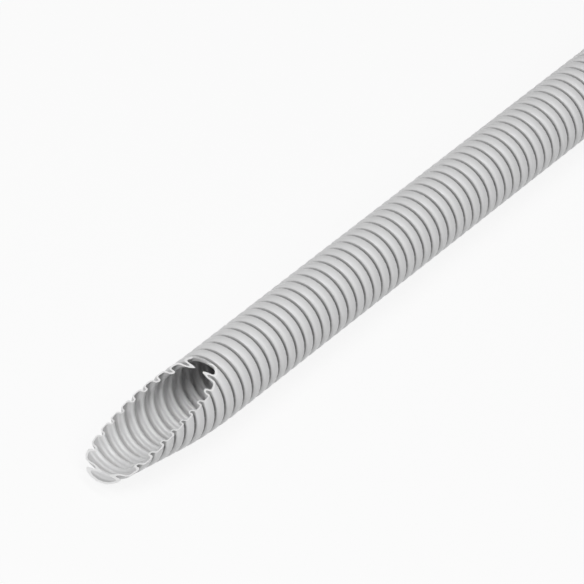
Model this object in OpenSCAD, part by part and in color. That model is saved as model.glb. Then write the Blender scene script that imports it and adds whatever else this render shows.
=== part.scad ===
// Pliable corrugated electrical conduit, one metre of it, lying on its side.
// One end is cut square. The other is cut open at a long slant, and the open end curls up and sideways.

/* [Tube] */
// Outside diameter over the crests, in mm
outside_d = 25; // [20:0.5:32]
// Wall thickness, the same all along the corrugated wall, in mm
wall = 0.5; // [0.4:0.05:0.6]

/* [Corrugations] */
// Distance from one groove to the next, in mm
pitch = 4.85; // [4.6:0.05:6]
// Depth of the grooves below the crests, in mm
groove_depth = 1.85; // [1.6:0.05:2.4]
// Width of the grooves between their straight sides, in mm
groove_w = 0.7; // [0.6:0.05:0.9]
// Radius where a crest rolls over into a groove, in mm
shoulder_r = 0.95; // [0.75:0.05:1]
// Number of whole corrugations in the straight stretch
straight_rings = 195; // [10:1:300]

/* [Curl at the slanted end] */
// Number of grooves that give way and let the end curl
hinge_count = 5; // [1:1:6]
// Turn at each of these grooves, in degrees
hinge_turn = 1.6; // [0.5:0.05:2.5]
// Way the end curls, in degrees: 0 is level to the side, 90 is straight up
curl_direction = 42.4; // [0:0.2:90]

/* [Slanted cut] */
// Distance from the first hinge to the upright step where the cut starts, in mm
cut_step = 1.1; // [1.1:0.05:2.4]
// Height of the steep start of the cut, carried on to the last hinge, above the tube's underside, in mm
entry_height = 16; // [15.5:0.1:17]
// Angle between the steep start of the cut and the tube's axis, in degrees
entry_slope = 27; // [24:0.5:30]
// Sideways lean of the steep start of the cut, in degrees
entry_lean = 5.4; // [0:0.2:20]
// Height of the slant above the tube's underside at the last hinge, in mm
cut_height = 16.6; // [16:0.1:17.5]
// Angle between the straight part of the slant and the tube's axis, in degrees
cut_slope = 16; // [12:0.5:20]
// Length of the straight part of the slant beyond the last hinge, in mm
cut_straight = 6; // [4:0.1:10]
// Radius of the slant where it rounds down towards the tip, in mm
cut_r = 77; // [60:1:120]
// Sideways lean of the slant, in degrees
cut_lean = 15; // [8:0.2:20]

/* [Hidden] */
$fn = 48;
outside_r = outside_d / 2;
groove_half = groove_w / 2;
// Radius, from the tube's axis, of the centre of a groove's rounded bottom
groove_centre = outside_r - groove_depth + groove_half;
// A hinge is a narrow band of a ball, a little proud of the groove's bottom, between two trimmed rings
hinge_trim = 0.27;
hinge_proud = 0.18;
straight_len = (straight_rings + 0.5) * pitch;
// Corrugations beyond the last hinge, one more than the cut leaves
tip_rings = 8;
// Where the steep start of the cut has sunk below the slant all across, beyond the last hinge
entry_len = 9;
// Heights of the steep start and of the slant above the tube's axis
entry_z = entry_height - outside_r;
slant_z = cut_height - outside_r;
// Where the straight part of the slant ends and the rounding begins, and the centre of the rounding
round_x = -cut_straight;
round_z = slant_z - cut_straight * tan(cut_slope);
round_angle = cut_slope + 1.5;
round_centre = [round_x + cut_r * sin(round_angle), round_z - cut_r * cos(round_angle) + 0.05];
// Bevel on both sides of the ridges that the grooves make inside
ridge_bevel = 0.45;
reach = 200;

// Every wall face is one profile pushed in by "inset": 0 gives the outside, the wall's thickness gives the inside.

// Outline of a run of corrugations, filled to the axis, with the radius across and the tube's length upwards
module ribbed_profile(inset, from, to, first, last) {
    half = groove_half + inset;
    bevel = inset == 0 ? 0 : ridge_bevel;
    bottom = groove_centre - half;
    difference() {
        translate([0, from])
            square([outside_r - inset, to - from]);
        for (k = [first:last])
            translate([0, k * pitch])
                polygon([
                    [outside_d, -half],
                    [bottom + bevel, -half],
                    [bottom, bevel - half],
                    [bottom, half - bevel],
                    [bottom + bevel, half],
                    [outside_d, half]
                ]);
        if (inset == 0)
            for (k = [first:last], side = [-1, 1])
                translate([outside_r, k * pitch + side * (half + shoulder_r)])
                    shoulder(side);
    }
}

// What is taken off a crest's corner to round it over into a groove
module shoulder(side) {
    difference() {
        translate([-shoulder_r, side > 0 ? -shoulder_r : 0])
            square([2 * shoulder_r, shoulder_r]);
        translate([-shoulder_r, 0])
            circle(r = shoulder_r);
    }
}

// A run of corrugations along X, solid to the axis
module ribbed_rod(inset, from, to, first, last) {
    rotate([0, 90, 0])
        rotate_extrude()
            ribbed_profile(inset, from, to, first, last);
}

// The straight stretch as a hollow wall, from the middle of its first crest to the square end
module straight_wall() {
    rotate([0, 90, 0])
        rotate_extrude()
            difference() {
                ribbed_profile(0, pitch / 2, straight_len, 1, straight_rings);
                ribbed_profile(wall, 0, straight_len + pitch, 0, straight_rings + 1);
            }
}

module hinge_ball(inset) {
    rotate([0, 90, 0])
        sphere(r = groove_centre - groove_half - inset + hinge_proud);
}

// Turns what lies beyond a hinge by one step of the curl
module turn_one_hinge() {
    rotate(a = hinge_turn, v = [0, sin(curl_direction), -cos(curl_direction)])
        children();
}

// What follows a hinge: the ball, the next ring turned by one step, and the rest of the end after it
module curled_end(inset, hinge) {
    hinge_ball(inset);
    turn_one_hinge()
        if (hinge < hinge_count) {
            ribbed_rod(inset, hinge_trim - pitch, -hinge_trim, -1, 0);
            translate([-pitch, 0, 0])
                curled_end(inset, hinge + 1);
        } else
            ribbed_rod(inset, -tip_rings * pitch, -hinge_trim, -tip_rings, 0);
}

// Everything inside the outer or the inner face of the wall at the curled end
module end_face(inset, rings) {
    ribbed_rod(inset, hinge_trim, (rings - 0.5) * pitch, 0, rings);
    curled_end(inset, 1);
}

// Everything below the steep start of the cut, in the frame of the curled end
module below_entry() {
    rotate([90 - entry_lean, 0, 0])
        translate([0, 0, -reach / 2])
            linear_extrude(height = reach)
                polygon([
                    [-entry_len, -reach],
                    [-entry_len, entry_z - entry_len * tan(entry_slope)],
                    [reach, entry_z + reach * tan(entry_slope)],
                    [reach, -reach]
                ]);
}

// Everything above the slant, in the frame of the curled end
module above_slant() {
    rotate([90 - cut_lean, 0, 0])
        translate([0, 0, -reach / 2])
            linear_extrude(height = reach)
                difference() {
                    square(reach, center = true);
                    polygon([
                        [reach, -reach],
                        [reach, slant_z + reach * tan(cut_slope)],
                        [round_x - 0.5, round_z - 0.5 * tan(cut_slope)],
                        round_centre
                    ]);
                    translate(round_centre)
                        circle(r = cut_r, $fn = 180);
                }
}

// Everything beyond the upright step at the start of the cut, square to the first turned ring
module beyond_step() {
    turn_one_hinge()
        translate([-cut_step - reach / 2, 0, 0])
            cube(reach, center = true);
}

// Puts the cut at the last hinge, turned with the end
module at_last_hinge(hinge) {
    turn_one_hinge()
        if (hinge < hinge_count)
            translate([-pitch, 0, 0])
                at_last_hinge(hinge + 1)
                    children();
        else
            children();
}

// The curled end with its slanted cut, up to the middle of the first straight crest
module slanted_end() {
    difference() {
        end_face(0, 1);
        end_face(wall, 4);
        intersection() {
            at_last_hinge(1)
                difference() {
                    above_slant();
                    below_entry();
                }
            beyond_step();
        }
    }
}

module conduit() {
    color([0.77, 0.77, 0.77])
        translate([-straight_len, 0, 0]) {
            straight_wall();
            slanted_end();
        }
}

conduit();
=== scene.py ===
# %% [markdown]
# # A length of corrugated electrical conduit
# Pliable conduit is a thin plastic tube that is blown into a chain of moulds, which press a groove
# into it every few millimetres. The grooves let it bend by hand, and the crests between them keep it
# round. This lesson makes one metre of it in Blender: the wall is one rule repeated along an axis, so a
# Geometry Nodes tree makes it, and a second part of the same tree cuts the near end open at a slant.

# %% Load the measured frame
import math

import bpy
from mathutils import Matrix, Vector


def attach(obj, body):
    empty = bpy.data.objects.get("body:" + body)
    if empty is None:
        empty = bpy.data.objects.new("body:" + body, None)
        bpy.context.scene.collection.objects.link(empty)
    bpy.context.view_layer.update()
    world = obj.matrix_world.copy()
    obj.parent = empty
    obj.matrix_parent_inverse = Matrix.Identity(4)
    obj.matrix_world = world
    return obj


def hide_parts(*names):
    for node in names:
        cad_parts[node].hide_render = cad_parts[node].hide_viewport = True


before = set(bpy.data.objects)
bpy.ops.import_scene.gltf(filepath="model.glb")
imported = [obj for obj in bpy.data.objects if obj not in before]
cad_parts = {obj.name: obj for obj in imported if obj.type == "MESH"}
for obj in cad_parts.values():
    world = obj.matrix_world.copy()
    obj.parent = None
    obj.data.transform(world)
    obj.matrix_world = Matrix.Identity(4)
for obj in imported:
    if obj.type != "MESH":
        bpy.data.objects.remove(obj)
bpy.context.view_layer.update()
MM = 0.001

# %% [markdown]
# ## A socket that does arithmetic
# Node trees, of shapes and of materials alike, are full of small sums. Placing each Math node by hand
# hides the sum, so this class wraps an output socket and lets Python's own operators add the nodes:
# `1 - mask` or `radius * 2` reads like the formula it is. Every other kind of node comes from `add`.

# %% The wire class
class Wire:
    """An output socket of a node tree. Arithmetic on wires adds Math nodes to that tree."""

    def __init__(self, tree, socket=None):
        self.tree, self.socket = tree, socket

    def add(self, kind, settings=None, sockets=None, out=0):
        """Adds a node: its settings first, then the values or wires of its sockets."""
        node = self.tree.nodes.new(kind)
        for name, value in (settings or {}).items():
            setattr(node, name, value)
        for name, value in (sockets or {}).items():
            if isinstance(value, Wire):
                self.tree.links.new(value.socket, node.inputs[name])
            else:
                node.inputs[name].default_value = value
        return Wire(self.tree, node.outputs[out] if node.outputs else None)

    def out(self, name):
        return Wire(self.tree, self.socket.node.outputs[name])

    def math(self, operation, *others):
        return self.add("ShaderNodeMath", {"operation": operation}, dict(enumerate((self,) + others)))

    def tint(self, factor, first, second):
        """Mixes two colours: a factor of 0 gives the first, and 1 gives the second."""
        sockets = {"Factor": factor, 6: first, 7: second}
        return self.add("ShaderNodeMix", {"data_type": "RGBA"}, sockets, 2)

    def __add__(self, other):
        return self.math("ADD", other)

    def __mul__(self, other):
        return self.math("MULTIPLY", other)

    __radd__, __rmul__ = __add__, __mul__

    def __sub__(self, other):
        return self.math("SUBTRACT", other)

    def __rsub__(self, other):
        return self * -1 + other

    def __truediv__(self, other):
        return self.math("DIVIDE", other)

    def __gt__(self, other):
        return self.math("GREATER_THAN", other)

    def __lt__(self, other):
        return self.math("LESS_THAN", other)


print("Wire is ready")

# %% [markdown]
# ## The sizes of the tube
# Everything that can be measured gets a named input on the tree, so the modifier's panel reads like a
# drawing. The tube is 25 mm over its crests, with a half-millimetre wall, and its axis is the frame's
# X axis: the square end is at zero and the open end is a metre away on the minus side. The near rings,
# which a camera sees from close by, get more points than the far ones, to keep the mesh light.

# %% Sizes
PITCH = 4.85 * MM
STRAIGHT_RINGS = 195
FIRST_HINGE = -(STRAIGHT_RINGS + 0.5) * PITCH
SIZES = {
    "Rings": 207,
    "Sides": 36,
    "Fine rings": 58,
    "Fine ridges": 24,
    "Pitch": PITCH,
    "Outside radius": 12.5 * MM,
    "Wall": 0.5 * MM,
    "Groove depth": 1.85 * MM,
    "Groove width": 0.9 * MM,
    "Near shoulder radius": 1.35 * MM,
    "Far shoulder radius": 0.95 * MM,
    "Channel radius": 0.85 * MM,
    "Curl start": FIRST_HINGE + PITCH / 2,
    "Curl length": 5 * PITCH,
    "Curl angle": math.radians(8.0),
    "Curl direction": math.radians(42.4),
    "Flare start": FIRST_HINGE - 5.5 * PITCH,
    "Flare length": 5.5 * PITCH,
    "Flare": 5 * MM,
    "Cut origin": FIRST_HINGE - 4 * PITCH,
    "Step": FIRST_HINGE - 0.7 * MM,
    "Step turn": math.radians(7),
    "Entry height": 3.5 * MM,
    "Entry slope": math.radians(27),
    "Entry lean": math.radians(5.4),
    "Slant height": 3.8 * MM,
    "Slant slope": math.radians(16),
    "Slant straight": 6 * MM,
    "Slant radius": 77 * MM,
    "Slant lean": math.radians(16.6),
}
print(len(SIZES), "sizes; the first hinge is at", round(FIRST_HINGE / MM, 2), "mm")

# %% Open the tree
shape = bpy.data.node_groups.new("corrugated_wall", "GeometryNodeTree")
shape.is_modifier = True
for name, value in SIZES.items():
    kind = "NodeSocketInt" if isinstance(value, int) else "NodeSocketFloat"
    shape.interface.new_socket(name=name, in_out="INPUT", socket_type=kind)
for name in ("Skin", "Cut face"):
    shape.interface.new_socket(name=name, in_out="INPUT", socket_type="NodeSocketMaterial")
shape.interface.new_socket(name="Geometry", in_out="OUTPUT", socket_type="NodeSocketGeometry")
start = Wire(shape)
panel = start.add("NodeGroupInput")
size = {item: panel.out(item) for item in list(SIZES) + ["Skin", "Cut face"]}
print("tree inputs:", len(size))

# %% [markdown]
# ## The section of the wall
# Cut along its axis, the wall shows a square wave: crest, groove, crest, groove. It could be drawn ring
# by ring, but a rule is shorter. A line of points is numbered by the Index node. The first half of the
# numbers walks along the outside and the second half walks back along the inside. Four points make a
# groove, and floor division says which groove a point is in.

# %% Number the corners
corner = start.add("GeometryNodeInputIndex")
count = size["Rings"] * 4 + 2
inside = corner > count - 0.5
place = corner + inside * (2 * count - 1 - 2 * corner)
groove = ((place - 1) / 4).math("FLOOR")
step = place - 1 - groove * 4
bottom = (step > 0.5) * (step < 2.5)
far_side = (step > 1.5) * 2 - 1
print("corners in the section:", 2 * (4 * SIZES["Rings"] + 2))

# %% Place the corners
half_groove = size["Groove width"] / 2 + size["Wall"] * inside
open_end = size["Rings"] * size["Pitch"] * -1
along = open_end + (groove + 0.5) * size["Pitch"] + far_side * half_groove
along = along.math("MAXIMUM", open_end).math("MINIMUM", 0.0)
radius = size["Outside radius"] - size["Wall"] * inside - size["Groove depth"] * bottom
print("a groove's bottom lies", (SIZES["Outside radius"] - SIZES["Groove depth"]) / MM, "mm from the axis")

# %% [markdown]
# ## Rounding the corners
# Blown plastic has no sharp corner: the crests roll over into the grooves, and inside the grooves stand
# out as round ridges. The Fillet Curve node takes a radius and a number of steps for each corner, so the
# same rule that places a corner also rounds it. The shoulder that faces the open end is rounder than the
# one behind it, as the mould leaves it. Corners that no camera comes near stay plain.

# %% Fillet radii and steps
at_end = (place < 0.5).math("MAXIMUM", place > count - 1.5)
fine = (groove < size["Fine rings"]) * (1 - inside) + (groove < size["Fine ridges"]) * inside
rounder_by = size["Near shoulder radius"] - size["Far shoulder radius"]
shoulder = size["Far shoulder radius"] + (far_side > 0) * rounder_by
crest_corner = shoulder * (1 - inside) + size["Channel radius"] * inside
rounding = bottom * half_groove + (1 - bottom) * crest_corner
plain = (1 - fine) * inside.math("MAXIMUM", bottom)
rounding = rounding * (1 - at_end) * (1 - plain)
steps = 1 + fine * (2 * (1 - inside) * (1 - bottom) + (1 - inside) * bottom + 2 * inside)
print("shoulders get 3 steps near the open end and 1 elsewhere")

# %% Draw the section
line = start.add("GeometryNodeMeshLine", {"mode": "OFFSET"}, {"Count": count * 2})
section = start.add("GeometryNodeMeshToCurve", {}, {"Mesh": line})
section = start.add("GeometryNodeSetSplineCyclic", {}, {"Geometry": section, "Cyclic": True})
HOOP = 1 * MM
spot = start.add("ShaderNodeCombineXYZ", {}, {"X": radius - HOOP, "Y": along})
section = start.add("GeometryNodeSetPosition", {}, {"Geometry": section, "Position": spot})
section = start.add(
    "GeometryNodeFilletCurve",
    {"mode": "POLY"},
    {"Curve": section, "Count": steps, "Radius": rounding, "Limit Radius": True},
)
print("the section is a closed curve")

# %% [markdown]
# ## Turning the section round the axis
# Curve to Mesh usually sweeps a small profile along a long path. Here it is the other way round: the path
# is a tiny hoop and the profile is the whole section, so one node turns the tube like a lathe. The lathe's
# axis is Z, and swapping the coordinates lays the tube along X.

# %% Lathe
hoop = start.add(
    "GeometryNodeCurvePrimitiveCircle", {"mode": "RADIUS"}, {"Resolution": size["Sides"], "Radius": HOOP}
)
hoop = start.add("GeometryNodeSetCurveNormal", {"mode": "Z_UP"}, {"Curve": hoop})
wall = start.add("GeometryNodeCurveToMesh", {}, {"Curve": hoop, "Profile Curve": section})
upright = start.add("ShaderNodeSeparateXYZ", {}, {"Vector": start.add("GeometryNodeInputPosition")})
lying = start.add(
    "ShaderNodeCombineXYZ", {}, {"X": upright.out("Z") * -1, "Y": upright.out("Y"), "Z": upright.out("X")}
)
wall = start.add("GeometryNodeSetPosition", {}, {"Geometry": wall, "Position": lying})
print("the tube lies along X")

# %% [markdown]
# ## Remembering the straight tube
# Later the end curls, and marks from the mould have to curl with it. Each face corner stores where it was
# on the straight tube. A corner keeps such a value even when the cut splits its face, and the material
# reads it by name.

# %% Store the straight place
PLACE = "straight_place"
here = start.add("GeometryNodeInputPosition")
wall = start.add(
    "GeometryNodeStoreNamedAttribute",
    {"data_type": "FLOAT_VECTOR", "domain": "CORNER"},
    {"Geometry": wall, "Name": PLACE, "Value": here},
)
print("stored", PLACE)

# %% [markdown]
# ## The curl
# The open end curls up and to one side. A bend is a rotation whose angle grows along the axis: each point
# gives up the length of axis it has gone into the bend, and is turned about the bend's centre instead.
# Points before the bend get no turn, and points after it get all of it, so one formula does the three.

# %% Curl function
def curl(geometry, run):
    """Turns the geometry by the share of the curl that belongs to the run of axis inside it."""
    at = start.add("ShaderNodeSeparateXYZ", {}, {"Vector": start.add("GeometryNodeInputPosition")})
    run = run(at.out("X"))
    flat = start.add(
        "ShaderNodeCombineXYZ", {}, {"X": at.out("X") + run, "Y": at.out("Y"), "Z": at.out("Z")}
    )
    reach = size["Curl length"] / size["Curl angle"]
    level, rise = size["Curl direction"].math("COSINE"), size["Curl direction"].math("SINE")
    centre = start.add(
        "ShaderNodeCombineXYZ", {}, {"X": size["Curl start"], "Y": reach * level, "Z": reach * rise}
    )
    hinge = start.add("ShaderNodeCombineXYZ", {}, {"Y": rise, "Z": level * -1})
    turned = start.add(
        "ShaderNodeVectorRotate",
        {"rotation_type": "AXIS_ANGLE"},
        {"Vector": flat, "Center": centre, "Axis": hinge, "Angle": run / reach},
    )
    return start.add("GeometryNodeSetPosition", {}, {"Geometry": geometry, "Position": turned})


def run_inside(x):
    return (size["Curl start"] - x).math("MAXIMUM", 0.0).math("MINIMUM", size["Curl length"])


wall = curl(wall, run_inside)
print("the end curls by", round(math.degrees(SIZES["Curl angle"]), 1), "degrees")

# %% [markdown]
# ## A tip that springs open
# A tube that is cut open loses its grip on itself: towards the tip one side of the trough spreads outwards
# and sinks a little. The shift grows with the cube of the distance, so it starts without a kink.

# %% Flare
SINK = -0.5
at = start.add("ShaderNodeSeparateXYZ", {}, {"Vector": start.add("GeometryNodeInputPosition")})
spring = ((size["Flare start"] - at.out("X")) / size["Flare length"]).math("MAXIMUM", 0.0)
outer = (at.out("Y") / size["Outside radius"]).math("MAXIMUM", 0.0)
give = size["Flare"] * spring * spring * spring * outer * outer
give = start.add("ShaderNodeCombineXYZ", {}, {"Y": give, "Z": give * SINK})
wall = start.add("GeometryNodeSetPosition", {}, {"Geometry": wall, "Offset": give})
print("the tip spreads by up to", SIZES["Flare"] / MM, "mm")

# %% [markdown]
# ## The slanted cut
# The near end is cut open with a knife: a small upright step, a short steep start, and then a long stroke
# that is straight at first and rounds down to the tip. Modelling the scalloped edge by hand would be
# hopeless, because the blade meets every crest and groove differently. A solid block whose underside has
# the blade's path, taken away with Mesh Boolean, gets every scallop right.

# %% Set a block in the curled end's frame
def set_block(block, x, y, z, lean):
    """Moves the corners of a cube to x, y and z, leans it, and takes it to the curled end."""
    spot = start.add("ShaderNodeCombineXYZ", {}, {"X": x, "Y": y, "Z": z})
    spot = start.add(
        "ShaderNodeVectorRotate", {"rotation_type": "X_AXIS"}, {"Vector": spot, "Angle": lean * -1}
    )
    origin = start.add("ShaderNodeCombineXYZ", {}, {"X": size["Cut origin"]})
    spot = start.add("ShaderNodeVectorMath", {"operation": "ADD"}, {0: spot, 1: origin})
    block = start.add("GeometryNodeSetPosition", {}, {"Geometry": block, "Position": spot})
    return curl(block, lambda along: size["Curl length"] + along * 0)


BLOCK_WIDTH = 70 * MM
unit = start.add("ShaderNodeSeparateXYZ", {}, {"Vector": start.add("GeometryNodeInputPosition")})
across = unit.out("Y") * BLOCK_WIDTH
upper = unit.out("Z") > 0
print("a block is a cube of 1 m until its corners are moved")

# %% The block above the slant
CUBE = {"Size": (1, 1, 1), "Vertices X": 160, "Vertices Y": 2, "Vertices Z": 2}
BLADE_LENGTH, BLADE_MIDDLE, BLOCK_TOP = 90 * MM, -25 * MM, 45 * MM
ROUND_DIP = math.radians(1.5)
blade_x = unit.out("X") * BLADE_LENGTH + BLADE_MIDDLE
slope = size["Slant slope"].math("TANGENT")
tip_angle = size["Slant slope"] + ROUND_DIP
round_x = size["Slant radius"] * tip_angle.math("SINE") - size["Slant straight"]
round_z = size["Slant height"] - size["Slant straight"] * slope
round_z = round_z - size["Slant radius"] * tip_angle.math("COSINE")
off = blade_x - round_x
round_z = round_z + (size["Slant radius"] * size["Slant radius"] - off * off).math("SQRT")
past = blade_x < size["Slant straight"] * -1
blade_z = (size["Slant height"] + blade_x * slope) * (1 - past) + round_z * past
block_z = blade_z * (1 - upper) + BLOCK_TOP * upper
slant = set_block(start.add("GeometryNodeMeshCube", {}, CUBE), blade_x, across, block_z, size["Slant lean"])
print("the blade rounds down over", SIZES["Slant radius"] / MM, "mm")

# %% The wedge below the steep start
WEDGE_LENGTH, WEDGE_MIDDLE, WEDGE_FOOT = 60 * MM, 21 * MM, -60 * MM
wedge_x = unit.out("X") * WEDGE_LENGTH + WEDGE_MIDDLE
wedge_top = size["Entry height"] + wedge_x * size["Entry slope"].math("TANGENT")
wedge_z = wedge_top * upper + WEDGE_FOOT * (1 - upper)
wedge = set_block(
    start.add("GeometryNodeMeshCube", {}, {"Size": (1, 1, 1)}), wedge_x, across, wedge_z, size["Entry lean"]
)
print("the wedge stays on the tube")

# %% The upright step where the cut starts
STOP = 120 * MM
stop = start.add("GeometryNodeMeshCube", {}, {"Size": (STOP, STOP, STOP)})
beyond = start.add("ShaderNodeCombineXYZ", {}, {"X": size["Step"] - STOP / 2})
stop = start.add("GeometryNodeSetPosition", {}, {"Geometry": stop, "Offset": beyond})
here = start.add("GeometryNodeInputPosition")
pivot = start.add("ShaderNodeCombineXYZ", {}, {"X": size["Step"]})
turned = start.add(
    "ShaderNodeVectorRotate",
    {"rotation_type": "Z_AXIS"},
    {"Vector": here, "Center": pivot, "Angle": size["Step turn"]},
)
stop = start.add("GeometryNodeSetPosition", {}, {"Geometry": stop, "Position": turned})
print("the cut starts at", round(SIZES["Step"] / MM, 2), "mm along the axis")

# %% [markdown]
# ## Taking the block away
# The faces of the block are marked before the cut, and the marks go over to the faces that the cut leaves
# on the wall. They pick out the thin fresh edge, which gets a paler finish than the moulded skin; the paler
# colour is partly the clean cut and partly painted light for faces turned up to the lamps.

# %% Boolean
MARK = "fresh_cut"
knife = start.add("GeometryNodeMeshBoolean", {"operation": "INTERSECT", "solver": "MANIFOLD"})
for part in (slant, stop):
    shape.links.new(part.socket, knife.socket.node.inputs["Mesh 2"])
knife = start.add(
    "GeometryNodeMeshBoolean",
    {"operation": "DIFFERENCE", "solver": "MANIFOLD"},
    {"Mesh 1": knife, "Mesh 2": wedge},
)
knife = start.add(
    "GeometryNodeStoreNamedAttribute",
    {"data_type": "FLOAT", "domain": "FACE"},
    {"Geometry": knife, "Name": MARK, "Value": 1.0},
)
wall = start.add(
    "GeometryNodeStoreNamedAttribute",
    {"data_type": "FLOAT", "domain": "FACE"},
    {"Geometry": wall, "Name": MARK, "Value": 0.0},
)
cut = start.add(
    "GeometryNodeMeshBoolean",
    {"operation": "DIFFERENCE", "solver": "MANIFOLD"},
    {"Mesh 1": wall, "Mesh 2": knife},
)
print("the slanted end is cut")

# %% [markdown]
# ## Smooth skin, crisp edge
# Shading runs smoothly over the rounded corners, but the fresh edge of the cut stays crisp. Edges whose
# faces meet at more than 35 degrees are made sharp. Then the tree hands out the two finishes.

# %% Shading and finishes
CRISP = math.radians(35)
bend = start.add("GeometryNodeInputMeshEdgeAngle")
cut = start.add("GeometryNodeSetShadeSmooth", {"domain": "FACE"}, {"Geometry": cut, "Shade Smooth": True})
cut = start.add(
    "GeometryNodeSetShadeSmooth",
    {"domain": "EDGE"},
    {"Geometry": cut, "Selection": bend > CRISP, "Shade Smooth": False},
)
cut = start.add("GeometryNodeRealizeInstances", {}, {"Geometry": cut})
cut = start.add("GeometryNodeSetMaterial", {}, {"Geometry": cut, "Material": size["Skin"]})
marked = start.add("GeometryNodeInputNamedAttribute", {"data_type": "FLOAT"}, {"Name": MARK})
cut = start.add(
    "GeometryNodeSetMaterial",
    {},
    {"Geometry": cut, "Selection": marked > 0.5, "Material": size["Cut face"]},
)
end = shape.nodes.new("NodeGroupOutput")
shape.links.new(cut.socket, end.inputs["Geometry"])
print("nodes in the tree:", len(shape.nodes))

# %% [markdown]
# ## The grey skin
# The plastic is a light neutral grey with a satin surface. Up close it isn't even: the melt leaves faint
# clouds, the moulds leave a fine grain, and the two halves of each mould leave a hairline along both sides
# of the tube, with a nick in every groove. All of these are small, so they go into colour, roughness and
# bump and not into the mesh.

# %% Skin material
def new_material(name):
    material = bpy.data.materials.new(name)
    material.use_nodes = True
    material.node_tree.nodes.clear()
    return material, Wire(material.node_tree)


def finish_material(nodes, sockets):
    surface = nodes.add("ShaderNodeBsdfPrincipled", {}, sockets)
    nodes.add("ShaderNodeOutputMaterial", {}, {"Surface": surface})


skin, ink = new_material("grey_pvc_skin")
straight = ink.add("ShaderNodeAttribute", {"attribute_name": PLACE}, {}, "Vector")
cloud = ink.add("ShaderNodeTexNoise", {}, {"Vector": straight, "Scale": 160.0, "Detail": 3.0})
grain = ink.add("ShaderNodeTexNoise", {}, {"Vector": straight, "Scale": 2600.0, "Detail": 2.0})
print("made", skin.name)

# %% The parting line of the moulds
PARTING = math.radians(74.6)
HAIRLINE = 0.16 * MM
GROOVE_TOP = 11.6 * MM
axis = ink.add("ShaderNodeSeparateXYZ", {}, {"Vector": straight})
off_line = axis.out("Y") * math.cos(PARTING) + axis.out("Z") * math.sin(PARTING)
hairline = (1 - off_line.math("ABSOLUTE") / HAIRLINE).math("MAXIMUM", 0.0)
height = (axis.out("Y") * axis.out("Y") + axis.out("Z") * axis.out("Z")).math("SQRT")
in_groove = height < GROOVE_TOP
seam = hairline * (0.35 + 0.65 * in_groove)
print("the parting line lies", round(math.degrees(PARTING)), "degrees from the top")

# %% [markdown]
# ## Painted shade in the grooves and channels
# Painted shade darkens the outer grooves on the side turned up and towards minus Y, and painted shade
# darkens the channels between the ridges inside, as far as the cut lays them open; there the channels are
# also duller.
# Both need to know where on the wall a point lies. The fraction of X over the pitch gives its distance from
# the nearest groove, and its distance from the axis tells crest from groove.

# %% Distance from the groove
from_groove = ((axis.out("X") / PITCH).math("FRACT") - 0.5).math("ABSOLUTE") * PITCH
half_width = SIZES["Groove width"] / 2
slot_centre = SIZES["Outside radius"] - SIZES["Groove depth"] + half_width
below = (height - slot_centre).math("MINIMUM", 0.0)
from_slot = (from_groove * from_groove + below * below).math("SQRT")
print("the grooves' bottoms are rounded about a radius of", round(slot_centre / MM, 2), "mm")

# %% Painted groove shade and bore
def ramp(wire, low, high):
    return ((wire - low) / (high - low)).math("MAXIMUM", 0.0).math("MINIMUM", 1.0)


MID_WALL = 0.6 * SIZES["Wall"]
# The side of the tube that gets painted shade in its grooves, and how far that shade spreads from a
# groove's middle.
SHADE_Y, SHADE_Z = -0.70, 0.71
GROOVE_SHADE_EDGE, GROOVE_SHADE_FULL = half_width + 0.45 * MM, half_width + 0.05 * MM
RIDGE = half_width + SIZES["Wall"]
RIDGE_FADE = 0.8 * MM
bore = (from_slot > half_width + MID_WALL) * (height < SIZES["Outside radius"] - MID_WALL)
shade_side = (axis.out("Y") * SHADE_Y + axis.out("Z") * SHADE_Z) / SIZES["Outside radius"]
# Painted shade: the outer grooves on that side are darkened, standing in for the shadow inside them.
groove_shade = ramp(from_slot, GROOVE_SHADE_EDGE, GROOVE_SHADE_FULL) * ramp(shade_side, -0.25, 0.3) * (1 - bore)
# The painted channel shade is full towards the open end and fades to nothing a pitch past the first hinge,
# deeper in the tube.
laid_open = ramp(axis.out("X"), FIRST_HINGE + PITCH, FIRST_HINGE - 3 * PITCH)
# Painted shade: the channels between the inner ridges are darkened, standing in for their shadow; they are
# also made rougher.
channel_shade_and_dull = bore * ramp(from_slot, RIDGE, RIDGE + RIDGE_FADE) * laid_open
print("dust fades out", round(GROOVE_SHADE_EDGE / MM, 2), "mm from the middle of a groove")

# %% Skin colours, gloss and bump
MELT_DARK, MELT_PALE = (0.67, 0.67, 0.673, 1), (0.73, 0.73, 0.732, 1)
# The grey of the painted shade in the outer grooves.
GROOVE_SHADE_GREY = (0.22, 0.22, 0.22, 1)
SEAM_GREY = (0.74, 0.74, 0.74, 1)
# The grey of the painted shade in the inner channels.
CHANNEL_SHADE_GREY = (0.25, 0.25, 0.25, 1)
shade = (cloud - 0.5) * 0.5 + (grain - 0.5) * 0.25 + 0.5
colour = ink.tint(shade, MELT_DARK, MELT_PALE)
# Painted shade darkens the outer grooves.
colour = ink.tint(groove_shade * 0.75, colour, GROOVE_SHADE_GREY)
colour = ink.tint(seam * 0.5, colour, SEAM_GREY)
# Painted shade darkens the inner channels.
colour = ink.tint(channel_shade_and_dull * 0.55, colour, CHANNEL_SHADE_GREY)
relief = grain * 0.012 + cloud * 0.02 + seam * 0.5
bump = ink.add("ShaderNodeBump", {}, {"Strength": 0.6, "Distance": 0.1 * MM, "Height": relief})
finish_material(
    ink,
    {"Base Color": colour, "Roughness": 0.3 + cloud * 0.1 + channel_shade_and_dull * 0.2, "Normal": bump, "IOR": 1.52},
)
print("nodes in the skin:", len(skin.node_tree.nodes))

# %% [markdown]
# ## The fresh cut
# Where the knife went through, the wall shows its clean inside: paler and duller than the skin, with fine
# drag marks from the blade. The paler colour is partly that clean inside and partly painted light, for the
# cut faces that turn up to the lamps. Stretching a noise along the stroke gives the marks.

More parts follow.
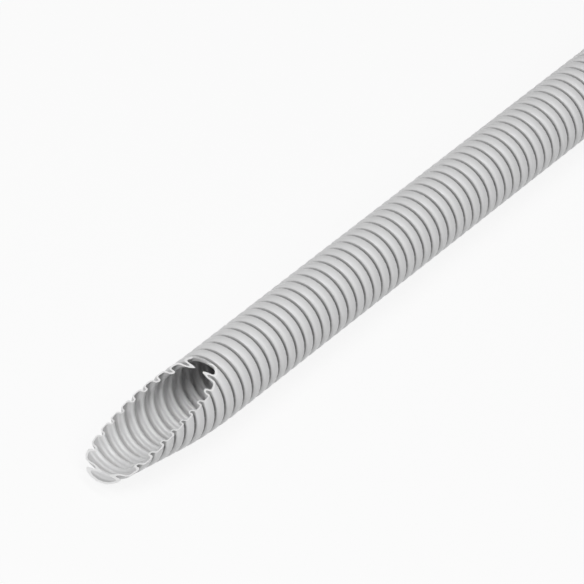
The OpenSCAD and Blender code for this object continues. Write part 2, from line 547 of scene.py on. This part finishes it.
# %% Cut material
# Both greys of the cut are paler than the skin, partly as painted light for faces turned up to the lamps.
CUT_DARK, CUT_PALE = (0.74, 0.74, 0.74, 1), (0.82, 0.82, 0.82, 1)
STROKE = (300.0, 2500.0, 2500.0)
fresh, edge = new_material("fresh_cut_edge")
place_on = edge.add("ShaderNodeTexCoord", {}, {}, "Object")
stroke = edge.add("ShaderNodeMapping", {}, {"Vector": place_on, "Scale": STROKE})
drag = edge.add("ShaderNodeTexNoise", {}, {"Vector": stroke, "Scale": 1.0, "Detail": 2.0})
pale = edge.tint(drag, CUT_DARK, CUT_PALE)
bump = edge.add("ShaderNodeBump", {}, {"Strength": 0.3, "Distance": 0.05 * MM, "Height": drag})
finish_material(edge, {"Base Color": pale, "Roughness": 0.5 + drag * 0.1, "Normal": bump, "IOR": 1.52})
print("made", fresh.name)

# %% [markdown]
# ## From nodes to a plain mesh
# A modifier's inputs are stored under identifiers, which the tree's interface lists. They are set before
# the object is evaluated. The evaluated result becomes a plain mesh, so that nothing depends on the tree
# any more.

# %% Make the conduit
maker = bpy.data.objects.new("conduit_maker", bpy.data.meshes.new("conduit_maker"))
bpy.context.collection.objects.link(maker)
modifier = maker.modifiers.new("corrugated_wall", "NODES")
modifier.node_group = shape
values = dict(SIZES, **{"Skin": skin, "Cut face": fresh})
for item in shape.interface.items_tree:
    if item.in_out == "INPUT":
        modifier[item.identifier] = values[item.name]
graph = bpy.context.evaluated_depsgraph_get()
mesh = bpy.data.meshes.new_from_object(maker.evaluated_get(graph), depsgraph=graph)
mesh.name = "conduit_skin"
mesh.materials.pop(index=0)
bpy.data.objects.remove(maker)
conduit = bpy.data.objects.new("conduit_skin", mesh)
bpy.context.collection.objects.link(conduit)
mesh.calc_loop_triangles()
print("triangles:", len(mesh.loop_triangles), "materials:", [material.name for material in mesh.materials])

# %% [markdown]
# ## Tying it to the frame
# The mesh rides on the part's one body and stands in for the CAD solid, which stays hidden below it.

# %% Ride and replace
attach(conduit, "root")
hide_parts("conduit")
print("conduit_skin replaces the CAD node")

# %% [markdown]
# ## A white floor
# The floor has to look white without throwing more light on the tube than a pale sheet would. Seen by the
# camera, or in a reflection, it is mostly its own even white, with a share of plain diffuse grey that still
# takes the tube's shadow. Seen by bounced light it is plain diffuse.

# %% Floor
FLOOR_Z = -SIZES["Outside radius"]
WHITE, SHEET_GREY = (1, 1, 1, 1), (0.75, 0.75, 0.75, 1)
OWN_WHITE = 0.88
bpy.ops.mesh.primitive_plane_add(size=8, location=(-0.5, 0, FLOOR_Z))
floor = bpy.context.active_object
floor.name = "floor"
paper, sheet = new_material("white_floor")
ray = sheet.add("ShaderNodeLightPath")
seen = ray.out("Is Camera Ray").math("MAXIMUM", ray.out("Is Glossy Ray"))
seen = seen.math("MAXIMUM", ray.out("Is Transmission Ray"))
matt = sheet.add("ShaderNodeBsdfDiffuse", {}, {"Color": SHEET_GREY})
glow = sheet.add("ShaderNodeEmission", {}, {"Color": WHITE, "Strength": 1.0})
mixed = sheet.add("ShaderNodeMixShader", {}, {0: seen * OWN_WHITE, 1: matt, 2: glow})
sheet.add("ShaderNodeOutputMaterial", {}, {"Surface": mixed})
floor.data.materials.append(paper)
print("floor at", FLOOR_Z / MM, "mm")

# %% [markdown]
# ## Soft light
# A product photograph like this is made in a light tent: weak light comes from all round, a long lamp above
# the tube lights its crests, and a second one before the open end draws the bright lines on the shoulders
# and on the ridges inside. The grooves face neither lamp, so they stay dark, and painted shade in the skin
# darkens them further. The world stands for the tent.
# The tube is stored a little rolled, and the lamps turn with it: the camera's step tells why.

# %% World and lamps
world = bpy.data.worlds.new("light_tent")
world.use_nodes = True
world.node_tree.nodes.clear()
tent = Wire(world.node_tree)
TENT = 0.2
level = TENT + (1 - TENT) * tent.add("ShaderNodeLightPath").out("Is Camera Ray")
sky = tent.add("ShaderNodeBackground", {}, {"Color": WHITE, "Strength": level})
tent.add("ShaderNodeOutputWorld", {}, {"Surface": sky})
bpy.context.scene.world = world
ROLL = math.radians(-11.4)
roll = Matrix.Rotation(ROLL, 3, "X")


def soft_lamp(name, place, target, size, power):
    """A rectangular lamp of the given sizes along and across, turned to its target."""
    data = bpy.data.lights.new(name, "AREA")
    data.shape, data.size, data.size_y, data.energy = "RECTANGLE", size[0], size[1], power
    lamp = bpy.data.objects.new(name, data)
    lamp.location = roll @ Vector(place)
    lamp.rotation_mode = "QUATERNION"
    lamp.rotation_quaternion = (roll @ (Vector(target) - Vector(place))).to_track_quat("-Z", "Y")
    bpy.context.collection.objects.link(lamp)


NEAR_END = (-0.87, 0.0, 0.0)
soft_lamp("overhead", (-0.87, -1.2, 1.6), NEAR_END, (0.5, 2.5), 21.0)
soft_lamp("front", (-2.3, -0.1, 1.5), NEAR_END, (0.8, 0.8), 20.0)

# %% [markdown]
# ## The camera
# The rings hardly shrink towards the far end, so the picture was taken from far away with a long lens. The
# camera stands in front of the open end, to one side and above it, and looks down along the tube. Left
# alone, a tube whose end is half cut away rolls a little, until the heavy side is down. The part is stored
# like that, so the camera turns with it about the tube's axis, and the end looks as it did before the roll.

# %% Camera
CAMERA_SPOT = Vector((-2194.26, -936.77, 1090.82)) * MM
lens = bpy.data.cameras.new("camera")
lens.sensor_width, lens.lens = 36.0, 361.66
lens.clip_end = 100
turn, drop = math.radians(35.90), math.radians(34.04)
gaze = Vector((math.cos(drop) * math.cos(turn), math.cos(drop) * math.sin(turn), -math.sin(drop)))
camera = bpy.data.objects.new("camera", lens)
camera.location = roll @ CAMERA_SPOT
camera.rotation_mode = "QUATERNION"
camera.rotation_quaternion = roll.to_quaternion() @ gaze.to_track_quat("-Z", "Y")
bpy.context.collection.objects.link(camera)
bpy.context.scene.camera = camera
bpy.context.scene.view_settings.view_transform = "Standard"
print("the camera stands", round(camera.location.length, 2), "m from the square end")
